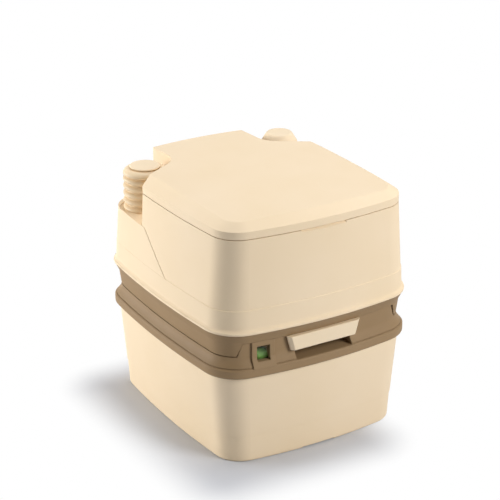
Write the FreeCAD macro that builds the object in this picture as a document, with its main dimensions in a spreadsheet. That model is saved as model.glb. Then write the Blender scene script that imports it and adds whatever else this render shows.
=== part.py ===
import FreeCAD, Part
import math
import os
import Sketcher

V = FreeCAD.Vector

# Driving sizes, in millimetres and degrees.
# The toilet stands on z = 0 with its front towards -Y and its pump at the rear left.
SIZES = {
    # Waist flanges: the widest outline, bowed on all four sides
    "flange_width": 383,
    "flange_depth": 427,
    "flange_corner": 61,
    "front_bow": 860,
    "side_bow": 1650,
    # Moulded walls and the gap between parts that come apart
    "wall": 3,
    "floor_wall": 4,
    "clearance": 0.3,
    "pin_fit": 0.05,
    # Levels of the lower section
    "crease_level": 46,
    "rim_level": 155,
    "rim_height": 14,
    "waist_level": 189,
    "panel_level": 213,
    "plateau_height": 17,
    # Waste tank
    "foot_width": 339,
    "foot_depth": 393,
    "foot_corner": 47,
    "foot_radius": 4,
    "foot_rim": 32,
    "foot_recess": 1.5,
    "foot_notch": 62,
    "foot_notch_height": 3,
    "crease_step": 1,
    "shoulder_inset": 8.5,
    "rim_inset": 0.5,
    "rim_radius": 4.5,
    "waist_inset": 12,
    "shoulder_crest": 0.5,
    "ridge_level": 171.5,
    "ridge_height": 1.4,
    "ridge_inset": 4.6,
    "plateau_inset": 19,
    "plateau_draft": 1.5,
    "spigot_depth": 8,
    "spigot_wall": 2.5,
    "panel_half_top": 140,
    "panel_half_bottom": 148,
    # Slide valve between bowl and waste tank
    "valve_y": 10,
    "valve_radius": 50,
    "blade_level": 195.5,
    "blade_thickness": 4,
    "blade_margin": 12,
    "blade_front": 60,
    "stem_half": 20,
    "guide_wall": 3,
    "guide_front": 150,
    "guide_rail": 9,
    "seal_lip": 4,
    "screw_radius": 1.9,
    "screw_head_radius": 4,
    "screw_head_height": 2.4,
    # Valve handle and the finger recess below it
    "handle_half_top": 68,
    "handle_half_bottom": 61,
    "handle_bottom": 188,
    "handle_proud": 8,
    "handle_chamfer": 5,
    "handle_radius": 1.5,
    "recess_half": 52,
    "recess_bottom": 171,
    "recess_height": 16,
    "recess_depth": 34,
    # Level indicator on the left of the front panel
    "indicator_x": 107,
    "indicator_width": 39,
    "indicator_proud": 3,
    "indicator_foot": 170,
    "indicator_bend": 186,
    "window_width": 22,
    "window_height": 25,
    "window_level": 192.2,
    "pane_thickness": 2,
    "drum_radius": 10,
    "drum_drop": 9.7,
    "drum_depth": 15,
    "axle_radius": 2,
    "housing_depth": 30,
    "arm_hub_radius": 6,
    "arm_width": 4,
    "float_reach": 80,
    "float_angle": 48,
    "float_radius": 14,
    "float_length": 36,
    # Pour-out spout, stowed in a pocket of the rear wall
    "spout_x": 64,
    "spout_y": 170,
    "spout_level": 155,
    "spout_radius": 20,
    "spout_wall": 3,
    "spout_bend": 26,
    "spout_reach": 54,
    "spout_flange": 4,
    "spout_flange_wall": 2.5,
    "pocket_left": 34,
    "pocket_right": 132,
    "pocket_front": 140,
    "pocket_floor": 122,
    "collar_wall": 3.5,
    "cap_grip": 25,
    "cap_seal": 2.5,
    "cap_wall": 4,
    "cap_lobes": 10,
    # Air vent button on the rear wall
    "vent_x": 80,
    "vent_level": 177,
    "vent_radius": 6.5,
    "vent_boss_radius": 10,
    "vent_proud": 5,
    "vent_travel": 4,
    # Latch that holds the two sections together
    "latch_half": 20,
    "latch_pivot_level": 181,
    "latch_pivot_inset": 12,
    "latch_thickness": 4,
    "latch_top": 224,
    "latch_pin_radius": 1.5,
    "latch_hook": 3,
    "latch_tilt": 10,
    "catch_reach": 3.5,
    "catch_level": 213,
    "catch_height": 5,
    # Flush section
    "flange_level": 230,
    "bead_height": 5,
    "bead_radius": 2,
    "lip_height": 4,
    "lip_inset": 0.8,
    "joint_height": 8,
    "skirt_lip_inset": 1.2,
    "skirt_root_inset": 8.5,
    "skirt_flare": 14,
    "skirt_gap": 1.6,
    "skirt_inset": 4.6,
    "ledge_level": 269,
    "ledge_inset": 6,
    "ledge_step": 1.2,
    "deck_level": 384,
    "rim_width": 353,
    "rim_depth": 403,
    "rim_corner": 48,
    "flange_wall": 3.7,
    "tray_inset": 18,
    "tray_wall": 3.5,
    "tray_rib": 2.5,
    "swell_inset": 10.6,
    "swell_foot": 255,
    "swell_foot_inset": 5.5,
    "swell_front_low": -41,
    "swell_front_high": 53,
    # Rear corners: pump tower on the left, fill tower on the right
    "pump_x": 131,
    "pump_y": 139,
    "notch_radius": 44,
    "notch_angle": 29,
    "pump_platform": 330,
    "fill_platform": 372,
    "cup_radius": 42,
    "cup_depth": 8,
    # Bowl
    "bowl_half_width": 108,
    "bowl_half_depth": 136,
    "bowl_y": -22,
    "bowl_waist_level": 300,
    "bowl_waist_share": 0.84,
    "outlet_level": 228,
    "bowl_rim": 12,
    # Bellows pump
    "bellows_radius": 37,
    "bellows_valley": 32.5,
    "bellows_pitch": 11.8,
    "bellows_ribs": 5,
    "bellows_wall": 1.6,
    "bellows_foot": 2.5,
    "bellows_top": 11,
    "button_radius": 26.5,
    "button_rim": 3,
    "button_dome": 2.5,
    "plug_radius": 12,
    "plug_depth": 9,
    "pump_body_radius": 22,
    "pump_body_depth": 34,
    "tube_radius": 6,
    "tube_wall": 1.5,
    "tube_foot": 4,
    "nozzle_reach": 9,
    "nozzle_neck": 4,
    "flap_radius": 12,
    # Fresh water filler
    "neck_radius": 23,
    "neck_height": 22,
    "fill_cap_radius": 31,
    "fill_cap_crown": 21,
    "fill_cap_height": 38,
    "fill_cap_skirt": 23,
    "fill_cap_edge": 2,
    "fill_cap_lift": 3,
    "fill_cap_flutes": 8,
    "fill_seal": 2.5,
    # Seat, lid and their hinge
    "hinge_y": 187.5,
    "hinge_level": 391,
    "hinge_pin_radius": 3.5,
    "hinge_knuckle": 7,
    "hinge_arm": 6,
    "hinge_arm_x": 66,
    "hinge_lug": 9,
    "hinge_gap": 1,
    "bay_front": 160,
    "bay_floor": 352,
    "seat_gap": 2,
    "seat_edge": 7,
    "seat_height": 16,
    "seat_inset": 6,
    "seat_slope": 15,
    "seat_half_width": 102,
    "seat_half_depth": 129,
    "bumper_radius": 6,
    "bumper_x": 125,
    "bumper_front": -110,
    "bumper_rear": 50,
    "lid_gap": 1.2,
    "lid_rim": 12,
    "lid_top": 414,
    "lid_bevel_run": 25,
    "lid_bevel_rise": 16.2,
    "lid_crown_radius": 4100,
    "lid_edge_radius": 5,
    "lid_rear_radius": 7,
    "finger_half": 41,
    "finger_depth": 4,
}


class Size:
    """A size that carries both its spreadsheet expression and its present value."""

    def __init__(self, text, number):
        self.text = text
        self.number = number

    def __add__(self, other):
        return Size(f"({self.text} + {text_of(other)})", self.number + number_of(other))

    def __radd__(self, other):
        return Size(f"({text_of(other)} + {self.text})", number_of(other) + self.number)

    def __sub__(self, other):
        return Size(f"({self.text} - {text_of(other)})", self.number - number_of(other))

    def __rsub__(self, other):
        return Size(f"({text_of(other)} - {self.text})", number_of(other) - self.number)

    def __mul__(self, other):
        return Size(f"({self.text} * {text_of(other)})", self.number * number_of(other))

    __rmul__ = __mul__

    def __truediv__(self, other):
        return Size(f"({self.text} / {text_of(other)})", self.number / number_of(other))

    def __rtruediv__(self, other):
        return Size(f"({text_of(other)} / {self.text})", number_of(other) / self.number)

    def __neg__(self):
        return Size(f"(-1 * {self.text})", -self.number)


def text_of(size):
    return size.text if isinstance(size, Size) else repr(float(size))


def number_of(size):
    return size.number if isinstance(size, Size) else float(size)


def root(size):
    return Size(f"sqrt({size.text})", math.sqrt(size.number))


def sine(angle):
    return Size(f"sin({angle.text} * 1 deg)", math.sin(math.radians(angle.number)))


def cosine(angle):
    return Size(f"cos({angle.text} * 1 deg)", math.cos(math.radians(angle.number)))


doc = FreeCAD.newDocument("portable_toilet")
sheet = doc.addObject("Spreadsheet::Sheet", "Sizes")
for row, (alias, number) in enumerate(SIZES.items(), start=1):
    sheet.set(f"A{row}", alias)
    sheet.set(f"B{row}", str(number))
    sheet.setAlias(f"B{row}", alias)
doc.recompute()


class Sizes:
    """Each alias of the sheet as a Size."""

    def __getattr__(self, alias):
        return Size(f"Sizes.{alias}", float(SIZES[alias]))


s = Sizes()
pieces = {}


# Helpers that draw and combine shapes

def bind(target, **sizes):
    for name, size in sizes.items():
        target.setExpression(name, text_of(size))


def place(target, x=0, y=0, z=0, turn=None):
    if turn is not None:
        target.Placement = FreeCAD.Placement(V(), turn)
    for axis, size in zip("xyz", (x, y, z)):
        target.setExpression(f"Placement.Base.{axis}", text_of(size))
    return target


ALONG = {
    "X": FreeCAD.Rotation(V(0, 1, 0), 90),
    "Y": FreeCAD.Rotation(V(1, 0, 0), -90),
    "Z": FreeCAD.Rotation(),
}


def at_axis(along, start, across):
    if along == "X":
        return start, across[0], across[1]
    if along == "Y":
        return across[0], start, across[1]
    return across[0], across[1], start


def box(name, x, y, z):
    solid = doc.addObject("Part::Box", name)
    bind(solid, Length=x[1] - x[0], Width=y[1] - y[0], Height=z[1] - z[0])
    return place(solid, x[0], y[0], z[0])


def rod(name, radius, along, span, across):
    solid = doc.addObject("Part::Cylinder", name)
    bind(solid, Radius=radius, Height=span[1] - span[0])
    return place(solid, *at_axis(along, span[0], across), ALONG[along])


def tube(name, outer, inner, along, span, across):
    return cut(name, rod(name + "_outer", outer, along, span, across),
               rod(name + "_bore", inner, along, span, across))


def cut(name, base, *tools):
    for tool in tools:
        result = doc.addObject("Part::Cut", name)
        result.Base = base
        result.Tool = tool
        base = result
    return base


def fuse(name, *parts):
    result = doc.addObject("Part::MultiFuse", name)
    result.Shapes = list(parts)
    return result


def common(name, first, second):
    result = doc.addObject("Part::Common", name)
    result.Base = first
    result.Tool = second
    return result


def group(name, *parts):
    result = doc.addObject("Part::Compound", name)
    result.Links = list(parts)
    return result


def fix(sketch, kind, *entries):
    size = entries[-1]
    index = sketch.addConstraint(Sketcher.Constraint(kind, *entries[:-1], number_of(size)))
    sketch.setExpression(f"Constraints[{index}]", text_of(size))


def fix_point(sketch, geometry, end, x, y):
    for kind, axis, size in (("DistanceX", -2, x), ("DistanceY", -1, y)):
        if number_of(size) > 0:
            fix(sketch, kind, -1, 1, geometry, end, size)
        elif number_of(size) < 0:
            fix(sketch, kind, geometry, end, -1, 1, -size)
        else:
            sketch.addConstraint(Sketcher.Constraint("PointOnObject", geometry, end, axis))


def draw_polygon(sketch, points):
    count = len(points)
    flat = [V(number_of(x), number_of(y), 0) for x, y in points]
    for index in range(count):
        sketch.addGeometry(Part.LineSegment(flat[index], flat[(index + 1) % count]))
    for index in range(count):
        following = (index + 1) % count
        sketch.addConstraint(Sketcher.Constraint("Coincident", index, 2, following, 1))
    for index, (x, y) in enumerate(points):
        fix_point(sketch, index, 1, x, y)


def corner_centre(half_x, half_y, side, front, corner):
    x = half_x - corner
    y = half_y - corner
    for _ in range(40):
        x = half_x - side + math.sqrt((side - corner) ** 2 - y ** 2)
        y = half_y - front + math.sqrt((front - corner) ** 2 - x ** 2)
    return x, y


def outline(name, width, depth, corner, level, shift=0):
    """A rounded rectangle whose four sides bow outwards, as eight tangent arcs."""
    sketch = doc.addObject("Sketcher::SketchObject", name)
    half_x = number_of(width) / 2
    half_y = number_of(depth) / 2
    side = s.side_bow.number
    front = s.front_bow.number
    radius = number_of(corner)
    x, y = corner_centre(half_x, half_y, side, front, radius)
    tilt_side = math.asin(y / (side - radius))
    tilt_front = math.asin(x / (front - radius))
    quarter = math.pi / 2
    turns = (-tilt_side, tilt_side, quarter - tilt_front, quarter + tilt_front)
    stops = list(turns) + [turn + math.pi for turn in turns] + [turns[0] + 2 * math.pi]
    middles = [(half_x - side, 0), (x, y), (0, half_y - front), (-x, y),
               (side - half_x, 0), (-x, -y), (0, front - half_y), (x, -y)]
    radii = (side, radius, front, radius) * 2
    for index in range(8):
        circle = Part.Circle(V(*middles[index], 0), V(0, 0, 1), radii[index])
        sketch.addGeometry(Part.ArcOfCircle(circle, stops[index], stops[index + 1]))
    for index in range(8):
        sketch.addConstraint(Sketcher.Constraint("Tangent", index, 2, (index + 1) % 8, 1))
    for index, axis in ((0, -1), (4, -1), (2, -2), (6, -2)):
        sketch.addConstraint(Sketcher.Constraint("PointOnObject", index, 3, axis))
    for first, second in ((1, 3), (3, 5), (5, 7), (0, 4), (2, 6)):
        sketch.addConstraint(Sketcher.Constraint("Equal", first, second))
    fix(sketch, "Radius", 1, corner)
    fix(sketch, "Radius", 0, s.side_bow)
    fix(sketch, "Radius", 2, s.front_bow)
    fix(sketch, "DistanceX", 0, 3, -1, 1, s.side_bow - width / 2)
    fix(sketch, "DistanceX", -1, 1, 4, 3, s.side_bow - width / 2)
    fix(sketch, "DistanceY", 2, 3, -1, 1, s.front_bow - depth / 2)
    fix(sketch, "DistanceY", -1, 1, 6, 3, s.front_bow - depth / 2)
    return place(sketch, 0, shift, level)


def ring(name, inset, level):
    """The flange outline, drawn in by an inset."""
    return outline(name, s.flange_width - 2 * inset, s.flange_depth - 2 * inset,
                   s.flange_corner - inset, level)


def loft(name, *sections, smooth=False):
    solid = doc.addObject("Part::Loft", name)
    solid.Sections = list(sections)
    solid.Solid = True
    solid.Ruled = not smooth
    return solid


def extrude(name, sketch, height):
    solid = doc.addObject("Part::Extrusion", name)
    solid.Base = sketch
    solid.DirMode = "Normal"
    solid.Solid = True
    bind(solid, LengthFwd=height)
    return solid


def slab(name, inset, low, high):
    """A plate of the flange outline, drawn in by an inset."""
    return extrude(name, ring(name + "_outline", inset, low), high - low)


def origin_plane(body, role):
    return next(item for item in body.Origin.OriginFeatures if item.Role == role)


def sketch_on(body, name, role, offset=0):
    sketch = body.newObject("Sketcher::SketchObject", name)
    sketch.AttachmentSupport = [(origin_plane(body, role), "")]
    sketch.MapMode = "FlatFace"
    sketch.setExpression("AttachmentOffset.Base.z", text_of(offset))
    return sketch


def turned(name, profile, at, along="Z"):
    """A body turned from a profile of (radius, height) points."""
    body = doc.addObject("PartDesign::Body", name)
    sketch = sketch_on(body, name + "_profile", "XZ_Plane")
    draw_polygon(sketch, profile)
    turn = body.newObject("PartDesign::Revolution", name + "_turn")
    turn.Profile = sketch
    turn.ReferenceAxis = (sketch, ["V_Axis"])
    turn.Angle = 360
    body.Tip = turn
    return place(body, *at, ALONG[along])


def padded(name, points, role, span):
    """A body padded from a polygon on an origin plane, between two places along its normal."""
    body = doc.addObject("PartDesign::Body", name)
    start = -span[1] if role == "XZ_Plane" else span[0]
    sketch = sketch_on(body, name + "_profile", role, start)
    draw_polygon(sketch, points)
    pad = body.newObject("PartDesign::Pad", name + "_pad")
    pad.Profile = sketch
    bind(pad, Length=span[1] - span[0])
    body.Tip = pad
    return body


def rounded(name, solid, radius, chosen):
    """The same solid as a body, with the chosen edges filleted."""
    doc.recompute()
    body = solid
    if solid.TypeId != "PartDesign::Body":
        body = doc.addObject("PartDesign::Body", name)
        body.BaseFeature = solid
        doc.recompute()
    base = body.Tip
    names = [f"Edge{index}" for index, edge in enumerate(base.Shape.Edges, start=1) if chosen(edge)]
    fillet = body.newObject("PartDesign::Fillet", name + "_fillet")
    fillet.Base = (base, names)
    bind(fillet, Radius=radius)
    body.Tip = fillet
    return body


def chamfered(name, body, size, chosen):
    """The body with the chosen edges of its last feature cut back."""
    doc.recompute()
    base = body.Tip
    names = [f"Edge{index}" for index, edge in enumerate(base.Shape.Edges, start=1) if chosen(edge)]
    chamfer = body.newObject("PartDesign::Chamfer", name + "_chamfer")
    chamfer.Base = (base, names)
    bind(chamfer, Size=size)
    body.Tip = chamfer
    return body


def fluted(name, body, distance, radius, count):
    """The turned body with finger flutes cut along its rim."""
    sketch = sketch_on(body, name + "_flute", "XY_Plane")
    sketch.addGeometry(Part.Circle(V(distance.number, 0, 0), V(0, 0, 1), radius.number))
    fix_point(sketch, 0, 3, distance, 0)
    fix(sketch, "Radius", 0, radius)
    flute = body.newObject("PartDesign::Pocket", name + "_pocket")
    flute.Profile = sketch
    flute.Type = "ThroughAll"
    flute.Midplane = True
    pattern = body.newObject("PartDesign::PolarPattern", name + "_pattern")
    pattern.Originals = [flute]
    pattern.Axis = (sketch, ["N_Axis"])
    pattern.Angle = 360
    bind(pattern, Occurrences=count)
    body.Tip = pattern
    return body


def level_edges(level):
    """A test for edges that lie in one horizontal plane."""
    height = number_of(level)

    def lies_there(edge):
        limits = edge.BoundBox
        return abs(limits.ZMin - height) < 0.01 and abs(limits.ZMax - height) < 0.01
    return lies_there


def piece(label, solid):
    solid.Label = label
    pieces[label] = solid
    return solid


def cove(name, low, high, inset_low, inset_high, deeper=0, crest=0.0):
    """An S-shaped belt between two insets of the flange outline; a crest leaves its lower edge sharp."""
    sections = []
    first = math.cos(math.pi * crest)
    for step in range(5):
        share = step / 4
        bend = (first - math.cos(math.pi * (crest + (1 - crest) * share))) / (first + 1)
        inset = inset_low + (inset_high - inset_low) * bend + deeper
        sections.append(ring(f"{name}_{step}", inset, low + (high - low) * share))
    return loft(name, *sections, smooth=True)


# Places that several pieces share
far_x = s.flange_width / 2 + 20
far_y = s.flange_depth / 2 + 20
rim_top = s.rim_level + s.rim_height
plateau = s.waist_level + s.plateau_height
deck_under = plateau - s.wall
front_half = s.flange_depth / 2 - s.waist_inset
recess_top = s.recess_bottom + s.recess_height
blade_top = s.blade_level + s.blade_thickness
guide_top = s.blade_level - s.clearance
guide_bottom = guide_top - s.guide_wall
tray_bottom = plateau + s.wall
spout_at = (s.spout_x, s.spout_y)
pump_at = (-s.pump_x, s.pump_y)
fill_at = (s.pump_x, s.pump_y)
rear_half = s.flange_depth / 2


# Waste tank tub: drafted walls with a low crease, a recessed floor and a hand notch at the front

def tub_outline(name, level, inset):
    share = level / s.rim_level
    width = s.foot_width + (s.flange_width - 2 * s.shoulder_inset - s.foot_width) * share
    depth = s.foot_depth + (s.flange_depth - 2 * s.shoulder_inset - s.foot_depth) * share
    corner = s.foot_corner + (s.flange_corner - s.shoulder_inset - s.foot_corner) * share
    return outline(name, width - 2 * inset, depth - 2 * inset, corner - inset, level)


tub_low = loft("tub_low", tub_outline("tub_foot", 0.0, 0),
               tub_outline("tub_crease_low", s.crease_level, s.crease_step))
tub_high = loft("tub_high", tub_outline("tub_crease", s.crease_level, 0),
                tub_outline("tub_brim", s.rim_level, 0))
tub_outer = rounded("tub_outer", fuse("tub_walls", tub_low, tub_high), s.foot_radius, level_edges(0))
tub_cavity = loft("tub_cavity", tub_outline("tub_inside_low", s.floor_wall, s.wall),
                  tub_outline("tub_inside_high", s.rim_level, s.wall))
foot_recess = extrude("foot_recess", outline("foot_recess_outline", s.foot_width - 2 * s.foot_rim,
                      s.foot_depth - 2 * s.foot_rim, s.foot_corner, 0), s.foot_recess)
foot_notch = box("foot_notch", (-s.foot_notch / 2, s.foot_notch / 2),
                 (-far_y, s.foot_rim / 4 - s.foot_depth / 2), (0.0, s.foot_notch_height))
tub_window = box("tub_window",
                 (s.pocket_left - s.wall - s.clearance, s.pocket_right + s.wall + s.clearance),
                 (s.pocket_front, far_y),
                 (s.pocket_floor - s.wall - s.clearance, s.rim_level))
piece("waste_tank_tub", cut("waste_tank_tub", tub_outer, tub_cavity, foot_recess, foot_notch, tub_window))


# Waste tank top: rim band, S-shaped shoulder, raised deck, front panel and pockets

rim_block = slab("rim_block", s.rim_inset, s.rim_level, rim_top)
rim_band = rounded("rim_band", rim_block, s.rim_radius, level_edges(s.rim_level))
crest = s.shoulder_crest.number
shoulder_form = cove("shoulder_form", rim_top, s.waist_level, s.rim_inset, s.waist_inset, crest=crest)
ridge_top = s.ridge_level + s.ridge_height
ridge_groove = cut("ridge_groove", slab("ridge_outer", -s.wall, s.ridge_level, ridge_top),
                   slab("ridge_inner", s.ridge_inset, s.ridge_level, ridge_top))
shoulder = cut("shoulder", shoulder_form, ridge_groove)
raised_deck = loft("raised_deck", ring("deck_low", s.plateau_inset, s.waist_level),
                   ring("deck_high", s.plateau_inset + s.plateau_draft, plateau))
top_hull = fuse("top_hull", rim_band, shoulder, raised_deck)
flange_under = s.rim_level + s.wall
spigot_inset = s.wall + s.clearance
rim_hollow = slab("rim_hollow", s.rim_inset + s.wall, flange_under, rim_top - s.wall)
shoulder_hollow = cove("shoulder_hollow", rim_top - s.wall, s.waist_level - s.wall,
                       s.rim_inset, s.waist_inset, s.wall, crest)
deck_hollow = loft("deck_hollow", ring("deck_hollow_low", s.plateau_inset + s.wall, s.waist_level - s.wall),
                   ring("deck_hollow_high", s.plateau_inset + s.plateau_draft + s.wall, deck_under))
spigot_low = s.rim_level - s.spigot_depth
spigot = loft("spigot", tub_outline("spigot_foot", spigot_low, spigot_inset),
              tub_outline("spigot_brim", flange_under, spigot_inset))
spigot_hollow = loft("spigot_hollow", tub_outline("spigot_hollow_foot", spigot_low,
                                                  spigot_inset + s.spigot_wall),
                     tub_outline("spigot_hollow_brim", flange_under, spigot_inset + s.spigot_wall))
top_walls = cut("top_walls", fuse("top_blank", top_hull, spigot),
                rim_hollow, shoulder_hollow, deck_hollow, spigot_hollow)


def front_wedge(name, grow, low, high):
    """The trapezoid seen from the front where the panel fills the gap of the skirt."""
    slope = (s.panel_half_bottom - s.panel_half_top) / (s.panel_level - s.waist_level)
    bottom = s.panel_half_bottom + slope * (s.waist_level - low) + grow
    top = s.panel_half_bottom - slope * (high - s.waist_level) + grow
    points = [(-bottom, low), (bottom, low), (top, high), (-top, high)]
    return padded(name, points, "XZ_Plane", (-far_y, -s.flange_depth / 4))


panel_low = s.waist_level - s.wall
panel_ring = cut("panel_ring", slab("panel_outer", s.waist_inset, panel_low, s.panel_level),
                 slab("panel_inner", s.waist_inset + s.wall, panel_low, s.panel_level))
front_panel = common("front_panel", panel_ring, front_wedge("panel_wedge", 0, panel_low, s.panel_level))

pocket_hull = fuse("pocket_hull", tub_high, top_hull)


def pocket(name, x, y, z):
    """The walls of a pocket let into the outer shell."""
    return common(name, box(name + "_block", x, y, z), pocket_hull)


recess_back = s.recess_depth - front_half
handle_pocket = pocket("handle_pocket", (-s.recess_half - s.wall, s.recess_half + s.wall),
                       (-far_y, recess_back + s.wall), (s.recess_bottom - s.wall, recess_top + s.wall))
handle_space = box("handle_space", (-s.recess_half, s.recess_half), (-far_y, recess_back),
                   (s.recess_bottom, recess_top))
handle_side = s.handle_half_top + s.clearance
handle_bay = box("handle_bay", (-handle_side, handle_side), (-far_y, s.clearance - front_half),
                 (recess_top, s.panel_level))
spout_pocket = pocket("spout_pocket", (s.pocket_left - s.wall, s.pocket_right + s.wall),
                      (s.pocket_front - s.wall, far_y), (s.pocket_floor - s.wall, s.waist_level))
spout_space = box("spout_space", (s.pocket_left, s.pocket_right), (s.pocket_front, far_y),
                  (s.pocket_floor, s.waist_level - s.wall))
spout_hole = rod("spout_hole", s.spout_radius - s.spout_wall, "Z",
                 (s.pocket_floor - 2 * s.wall, s.pocket_floor + s.wall), spout_at)
latch_y = rear_half - s.latch_pivot_inset
latch_room = latch_y - s.latch_thickness
latch_side = s.latch_half + s.clearance
latch_pocket = pocket("latch_pocket", (-latch_side - s.wall, latch_side + s.wall),
                      (latch_room - s.wall, far_y), (rim_top - s.wall, s.waist_level))
latch_space = box("latch_space", (-latch_side, latch_side), (latch_room, far_y), (rim_top, far_y))
latch_pin_hole = rod("latch_pin_hole", s.latch_pin_radius, "X", (-latch_side - s.wall, latch_side + s.wall),
                     (latch_y, s.latch_pivot_level))

# The vent boss is a short round post in the rear wall, bored for its button
vent_face = rear_half - s.waist_inset
vent_boss = rod("vent_boss", s.vent_boss_radius, "Y", (vent_face - 4 * s.wall, vent_face + s.wall),
                (-s.vent_x, s.vent_level))
vent_bore = rod("vent_bore", s.vent_radius + s.clearance, "Y", (vent_face - 5 * s.wall, far_y),
                (-s.vent_x, s.vent_level))

# The level indicator sits square to the bowed panel, so its parts share a turned frame
turn_sine = s.indicator_x / s.front_bow
turn_cosine = root(1 - turn_sine * turn_sine)
frame_x = -s.indicator_x
frame_y = s.front_bow - front_half - s.front_bow * turn_cosine
frame_turn = FreeCAD.Rotation(V(0, 0, 1), -math.degrees(math.asin(turn_sine.number)))


def on_panel(x, y):
    return frame_x + x * turn_cosine + y * turn_sine, frame_y - x * turn_sine + y * turn_cosine


def panel_box(name, x, y, z):
    solid = box(name, x, y, z)
    return place(solid, *on_panel(x[0], y[0]), z[0], frame_turn)


def panel_rod(name, radius, span, y, z):
    solid = rod(name, radius, "X", span, (y, z))
    return place(solid, *on_panel(span[0], y), z, frame_turn.multiply(ALONG["X"]))


window_half = s.window_width / 2
window_low = s.window_level - s.window_height / 2
window_high = s.window_level + s.window_height / 2
axle_level = s.window_level - s.drum_drop
housing_half = window_half + s.wall
pad_half = s.indicator_width / 2
pad_toe = 2 * s.rim_inset - s.waist_inset
indicator_pad = padded("indicator_pad", [
    (-s.indicator_proud, s.panel_level), (-s.indicator_proud, s.indicator_bend), (pad_toe, s.indicator_foot),
    (pad_toe + s.wall, s.indicator_foot), (s.wall, s.waist_level), (s.wall, s.panel_level)],
    "YZ_Plane", (-pad_half, pad_half))
place(indicator_pad, frame_x, frame_y, 0, frame_turn)
housing = panel_box("housing", (-housing_half, housing_half), (-s.wall / 2, s.housing_depth),
                    (axle_level - s.arm_hub_radius, deck_under))
housing_space = panel_box("housing_space", (-window_half, window_half),
                          (s.wall - s.clearance, s.housing_depth + s.wall),
                          (axle_level - s.drum_radius - s.wall, deck_under))
window_space = panel_box("window_space", (-window_half, window_half), (-s.waist_inset, s.wall),
                         (window_low, window_high))
axle_hole = panel_rod("axle_hole", s.axle_radius, (-housing_half, housing_half), s.drum_depth, axle_level)

valve_hole = rod("valve_hole", s.valve_radius + s.blade_margin - s.seal_lip, "Z",
                 (deck_under - s.wall, plateau + s.wall),
                 (0.0, s.valve_y))
stem_slot = box("stem_slot", (-s.stem_half - s.clearance, s.stem_half + s.clearance),
                (-far_y, recess_back), (s.blade_level - s.clearance, blade_top + s.clearance))
screw_x = s.valve_radius + s.blade_margin + s.guide_rail / 2 + s.clearance
screw_places = [(side * screw_x, y) for side in (-1, 1)
                for y in (s.valve_y + s.valve_radius, s.screw_head_radius * 3 - s.guide_front)]
screw_tip = deck_under + s.wall / 2
screw_holes = [rod("screw_hole", s.screw_radius, "Z", (deck_under, screw_tip), at) for at in screw_places]

top_solid = fuse("top_solid", top_walls, front_panel, handle_pocket, spout_pocket, latch_pocket,
                 vent_boss, indicator_pad, housing)
piece("waste_tank_top", cut("waste_tank_top", top_solid, handle_space, handle_bay, spout_space, spout_hole,
                            latch_space,
                            latch_pin_hole, vent_bore, housing_space, window_space, axle_hole,
                            valve_hole, stem_slot, *screw_holes))


# Slide valve: a blade under a lip seal, carried by a guide tray screwed below the deck

blade_half = s.valve_radius + s.blade_margin
valve_at = (0.0, s.valve_y)
seal_top = tray_bottom - s.clearance
lip_root = blade_half - s.seal_lip - s.clearance
piece("valve_seal", turned("valve_seal", [
    (s.valve_radius, blade_top + s.clearance), (blade_half, blade_top + s.clearance),
    (blade_half, deck_under - s.clearance), (lip_root, deck_under - s.clearance),
    (lip_root, plateau + s.clearance), (blade_half, plateau + s.clearance),
    (blade_half - s.seal_lip, seal_top), (s.valve_radius, seal_top)], (0, s.valve_y, 0)))

rail_inner = blade_half + s.clearance
rail_outer = rail_inner + s.guide_rail
guide_back = s.valve_y + rail_outer
guide_block = box("guide_block", (-rail_outer, rail_outer), (-s.guide_front, guide_back),
                  (guide_bottom, deck_under))
guide_track = box("guide_track", (-rail_inner, rail_inner), (-far_y, s.valve_y + rail_inner),
                  (guide_top, deck_under))
guide_hole = rod("guide_hole", s.valve_radius, "Z", (guide_bottom, guide_top), valve_at)
guide_screw_holes = [rod("guide_screw_hole", s.screw_radius + s.pin_fit, "Z", (guide_bottom, deck_under),
                         at)
                     for at in screw_places]
piece("valve_guide", cut("valve_guide", guide_block, guide_track, guide_hole, *guide_screw_holes))


def screw(x, y):
    head = s.screw_head_radius
    shank = s.screw_radius - s.pin_fit
    low = guide_bottom - s.screw_head_height
    return turned("valve_screw", [(0.0, low), (head, low), (head, guide_bottom), (shank, guide_bottom),
                                  (shank, screw_tip), (0.0, screw_tip)], (x, y, 0))


piece("valve_screws", group("valve_screws", *[screw(x, y) for x, y in screw_places]))

stem_front = -front_half - s.clearance
blade_plate = box("blade_plate", (-blade_half, blade_half), (-s.blade_front, s.valve_y),
                  (s.blade_level, blade_top))
blade_round = rod("blade_round", blade_half, "Z", (s.blade_level, blade_top), valve_at)
blade_stem = box("blade_stem", (-s.stem_half, s.stem_half), (stem_front, -s.blade_front),
                 (s.blade_level, blade_top))
piece("valve_blade", fuse("valve_blade", blade_plate, blade_round, blade_stem))

handle_top = s.panel_level - s.clearance
handle_front = stem_front - s.handle_proud
handle_bar = padded("valve_handle", [
    (-s.handle_half_bottom, s.handle_bottom), (s.handle_half_bottom, s.handle_bottom),
    (s.handle_half_top, handle_top), (-s.handle_half_top, handle_top)],
    "XZ_Plane", (handle_front, stem_front))


def slanted_front_edge(edge):
    limits = edge.BoundBox
    return limits.YMax < handle_front.number + 0.01 and limits.ZLength > s.handle_proud.number


def handle_face_edge(edge):
    limits = edge.BoundBox
    return limits.YMax < handle_front.number + 0.01


chamfered("valve_handle", handle_bar, s.handle_chamfer, slanted_front_edge)
piece("valve_handle", rounded("valve_handle", handle_bar, s.handle_radius, handle_face_edge))


# Level indicator: pane, axle, drum and the float that turns it

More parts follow.
